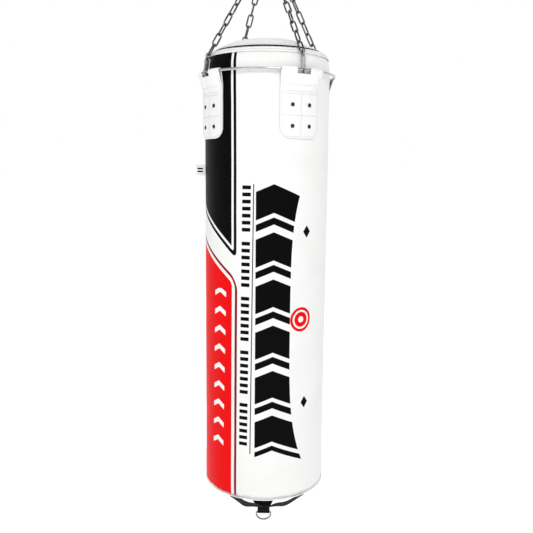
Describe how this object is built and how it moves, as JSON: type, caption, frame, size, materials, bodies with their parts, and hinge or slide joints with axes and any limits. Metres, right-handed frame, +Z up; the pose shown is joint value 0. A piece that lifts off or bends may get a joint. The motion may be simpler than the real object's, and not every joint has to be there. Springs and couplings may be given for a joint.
{
  "type": "hanging punch bag",
  "caption": "Tall round stuffed vinyl punch bag with printed side panels, hung by a steel hoop, riveted tabs, chains, a swivel and a snap hook, with a tether ring below.",
  "frame": {"origin": "hang point: the inside of the top snap hook's crown, where the support bears", "axes": "+Z up along the bag's axis, -Y the bag's front with the printed panels towards its left, +X to the right seen from the front"},
  "size_m": [0.3909, 0.383, 1.8188],
  "materials": {
    "vinyl": "smooth white coated vinyl with printed black and red panels, satin",
    "hem_vinyl": "white coated vinyl, satin",
    "lid_vinyl": "white coated vinyl, satin",
    "base_vinyl": "white coated vinyl, satin",
    "tab_vinyl": "thick white coated vinyl, stitched",
    "zip": "black woven tape and moulded teeth",
    "zip_metal": "black enamelled zip slider",
    "foam": "grey foam padding, hidden",
    "filling": "shredded textile filling, hidden",
    "hoop_steel": "bright nickel-plated rod",
    "fitting_steel": "bright zinc-plated steel",
    "chain_steel": "bright zinc-plated welded links",
    "rivet_chrome": "polished domed rivet",
    "washer_brass": "turned",
    "webbing": "black woven polyester webbing",
    "label": "plain woven label"
  },
  "bodies": {
    "hook": {"top_hook": "fitting_steel"},
    "hook_gate": {"top_hook_gate": "fitting_steel"},
    "swivel_upper": {"swivel_cap": "fitting_steel", "swivel_housing": "fitting_steel"},
    "swivel_lower": {"swivel_stud": "fitting_steel", "swivel_washer": "washer_brass"},
    "bag": {"gather_ring": "fitting_steel", "chain_strand_1": "chain_steel", "chain_strand_2": "chain_steel", "chain_strand_3": "chain_steel", "chain_strand_4": "chain_steel", "snap_hook_1": "fitting_steel", "snap_hook_2": "fitting_steel", "snap_hook_3": "fitting_steel", "snap_hook_4": "fitting_steel", "hoop_ring": "hoop_steel", "tab_1": "tab_vinyl", "tab_2": "tab_vinyl", "tab_3": "tab_vinyl", "tab_4": "tab_vinyl", "tab_1_rivet_1": "rivet_chrome", "tab_1_rivet_2": "rivet_chrome", "tab_1_rivet_3": "rivet_chrome", "tab_1_rivet_4": "rivet_chrome", "tab_2_rivet_1": "rivet_chrome", "tab_2_rivet_2": "rivet_chrome", "tab_2_rivet_3": "rivet_chrome", "tab_2_rivet_4": "rivet_chrome", "tab_3_rivet_1": "rivet_chrome", "tab_3_rivet_2": "rivet_chrome", "tab_3_rivet_3": "rivet_chrome", "tab_3_rivet_4": "rivet_chrome", "tab_4_rivet_1": "rivet_chrome", "tab_4_rivet_2": "rivet_chrome", "tab_4_rivet_3": "rivet_chrome", "tab_4_rivet_4": "rivet_chrome", "bag_shell": "vinyl", "top_hem": "hem_vinyl", "zip_tape": "zip", "lid_panel": "lid_vinyl", "base_panel": "base_vinyl", "foam_liner": "foam", "filling_core": "filling", "base_straps": "webbing", "ring_keeper": "webbing", "side_label": "label"},
    "snap_gate_1": {"snap_gate_1": "fitting_steel"},
    "snap_gate_2": {"snap_gate_2": "fitting_steel"},
    "snap_gate_3": {"snap_gate_3": "fitting_steel"},
    "snap_gate_4": {"snap_gate_4": "fitting_steel"},
    "zip_slider": {"zip_slider": "zip_metal"},
    "zip_pull": {"zip_pull": "zip_metal"},
    "d_ring": {"d_ring": "fitting_steel"}
  },
  "joints": [
    {"name": "top_gate_hinge", "type": "hinge", "parent": "hook", "child": "hook_gate", "pos_m": [0.013, 0, -0.03945], "axis": [0, -1, 0], "range_deg": [0, 30], "stiffness_Nm_per_rad": 0.05, "springref_deg": -20.05},
    {"name": "upper_swing", "type": "hinge", "parent": "hook", "child": "swivel_upper", "pos_m": [0, 0, -0.0595], "axis": [1, 0, 0], "range_deg": [-35, 35]},
    {"name": "swivel_spin", "type": "hinge", "parent": "swivel_upper", "child": "swivel_lower", "pos_m": [0, 0, -0.09], "axis": [0, 0, 1], "continuous": true},
    {"name": "lower_swing", "type": "hinge", "parent": "swivel_lower", "child": "bag", "pos_m": [0, 0, -0.1227], "axis": [-0.2588, -0.9659, 0], "range_deg": [-35, 35]},
    {"name": "snap_gate_1_hinge", "type": "hinge", "parent": "bag", "child": "snap_gate_1", "pos_m": [0.09567, -0.1657, -0.46425], "axis": [0.866, 0.5, 0], "range_deg": [0, 25], "stiffness_Nm_per_rad": 0.02, "springref_deg": -20.05},
    {"name": "snap_gate_2_hinge", "type": "hinge", "parent": "bag", "child": "snap_gate_2", "pos_m": [0.1657, 0.09567, -0.46425], "axis": [-0.5, 0.866, 0], "range_deg": [0, 25], "stiffness_Nm_per_rad": 0.02, "springref_deg": -20.05},
    {"name": "snap_gate_3_hinge", "type": "hinge", "parent": "bag", "child": "snap_gate_3", "pos_m": [-0.09567, 0.1657, -0.46425], "axis": [-0.866, -0.5, 0], "range_deg": [0, 25], "stiffness_Nm_per_rad": 0.02, "springref_deg": -20.05},
    {"name": "snap_gate_4_hinge", "type": "hinge", "parent": "bag", "child": "snap_gate_4", "pos_m": [-0.1657, -0.09567, -0.46425], "axis": [0.5, -0.866, 0], "range_deg": [0, 25], "stiffness_Nm_per_rad": 0.02, "springref_deg": -20.05},
    {"name": "zip_travel", "type": "hinge", "parent": "bag", "child": "zip_slider", "pos_m": [0, 0, -0.43315], "axis": [0, 0, 1], "range_deg": [-300, 0]},
    {"name": "zip_pull_flip", "type": "hinge", "parent": "zip_slider", "child": "zip_pull", "pos_m": [0.04088, 0.15257, -0.42552], "axis": [0.191, 0.7129, -0.6748], "range_deg": [0, 100]},
    {"name": "d_ring_swing", "type": "hinge", "parent": "bag", "child": "d_ring", "pos_m": [0, 0, -1.78525], "axis": [1, 0, 0], "range_deg": [-75, 75]}
  ]
}
